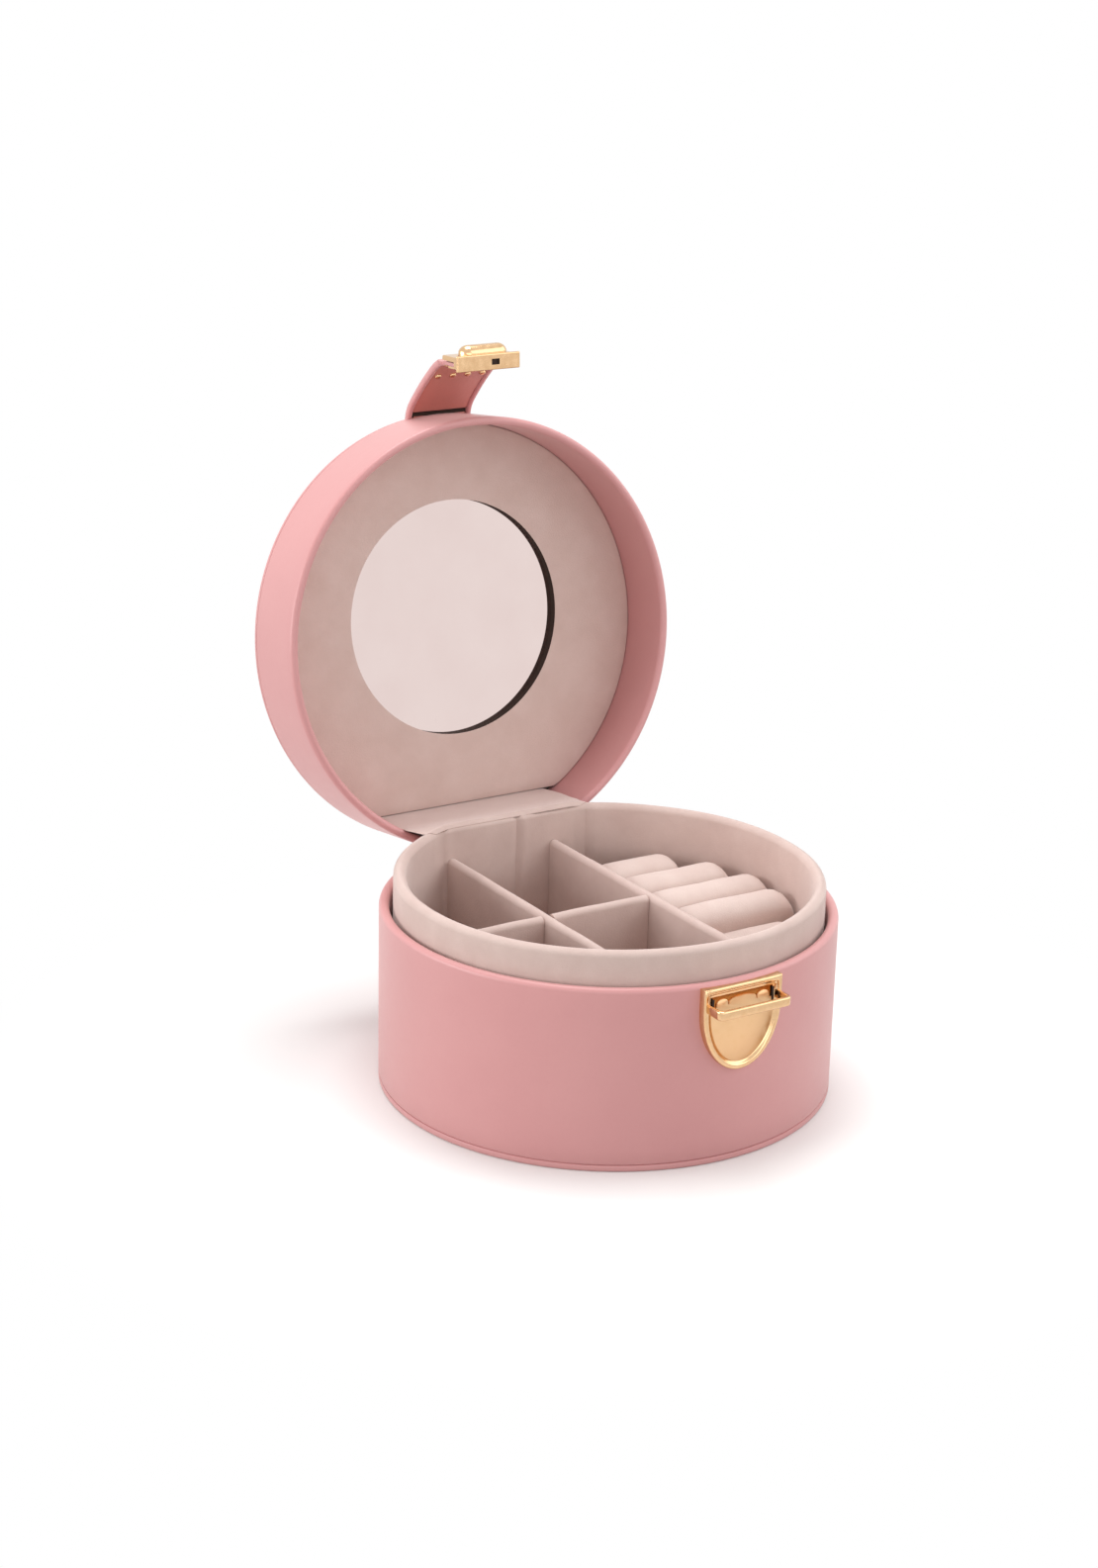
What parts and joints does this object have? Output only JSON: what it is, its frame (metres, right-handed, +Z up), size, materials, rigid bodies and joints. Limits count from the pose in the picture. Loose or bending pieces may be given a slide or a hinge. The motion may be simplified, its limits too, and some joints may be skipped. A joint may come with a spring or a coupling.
{
  "type": "jewellery box",
  "caption": "Round leatherette travel jewellery case with hinged mirror lid, velvet collar, dividers, ring rolls and a strap with a push-button tuck lock.",
  "frame": {"origin": "centre of the underside, on the axis of the round wall", "axes": "+Z up out of the open base, -Y towards the clasp on the front, +X towards the ring rolls"},
  "size_m": [0.12, 0.1606, 0.183],
  "materials": {
    "leatherette": "satin",
    "velvet": "matte",
    "greyboard": "matte",
    "raw_board": "matte",
    "gold_metal": "polished",
    "mirror": "polished",
    "spring_steel": "satin"
  },
  "bodies": {
    "base": {"bottom_board": "greyboard", "bottom_leather": "leatherette", "base_wall_board": "greyboard", "base_wall_leather": "leatherette", "floor_board": "greyboard", "floor_velvet": "velvet", "collar_board": "greyboard", "collar_velvet": "velvet", "left_divider": "velvet", "right_divider": "velvet", "cross_divider": "velvet", "ring_roll_1": "velvet", "ring_roll_2": "velvet", "ring_roll_3": "velvet", "ring_roll_4": "velvet", "ring_roll_5": "velvet", "ring_roll_6": "velvet", "velvet_web": "velvet", "leather_strip": "leatherette", "lock_plate": "gold_metal", "lock_bridge": "gold_metal", "lock_washer": "gold_metal", "lock_rivets": "gold_metal"},
    "lid": {"strap_anchor": "leatherette", "lid_wall_board": "greyboard", "lid_wall_leather": "leatherette", "lid_top_board": "greyboard", "lid_top_leather": "leatherette", "mirror_glass": "mirror", "mirror_spacer": "greyboard", "surround_board": "raw_board", "surround_velvet": "velvet"},
    "strap": {"strap_lining": "leatherette", "strap_outer": "leatherette"},
    "clasp": {"clasp_housing": "gold_metal", "clasp_back_cover": "gold_metal", "strap_end": "leatherette", "clasp_prongs": "gold_metal", "prong_strip": "gold_metal", "button_spring": "spring_steel"},
    "button": {"release_button": "gold_metal"}
  },
  "joints": [
    {"name": "lid_hinge", "type": "hinge", "parent": "base", "child": "lid", "pos_m": [0, 0.0558, 0.04915], "axis": [1, 0, 0], "range_deg": [0, 97.8], "deforming": ["velvet_web", "leather_strip"]},
    {"name": "strap_bend", "type": "hinge", "parent": "lid", "child": "strap", "pos_m": [0, 0.09159, 0.16158], "axis": [1, 0, 0], "range_deg": [-15, 31.1], "stiffness_Nm_per_rad": 0.03},
    {"name": "clasp_bend", "type": "hinge", "parent": "strap", "child": "clasp", "pos_m": [0, 0.07456, 0.17849], "axis": [1, 0, 0], "range_deg": [-36.2, 17.5]},
    {"name": "button_press", "type": "slide", "parent": "clasp", "child": "button", "axis": [0, -0.0488, -0.9988], "range_m": [0, 0.00155], "stiffness_N_per_m": 300, "deforming": ["button_spring"]}
  ],
  "couplings": [
    {"joint": "clasp_bend", "follows": "strap_bend", "ratio": -1.1608}
  ]
}
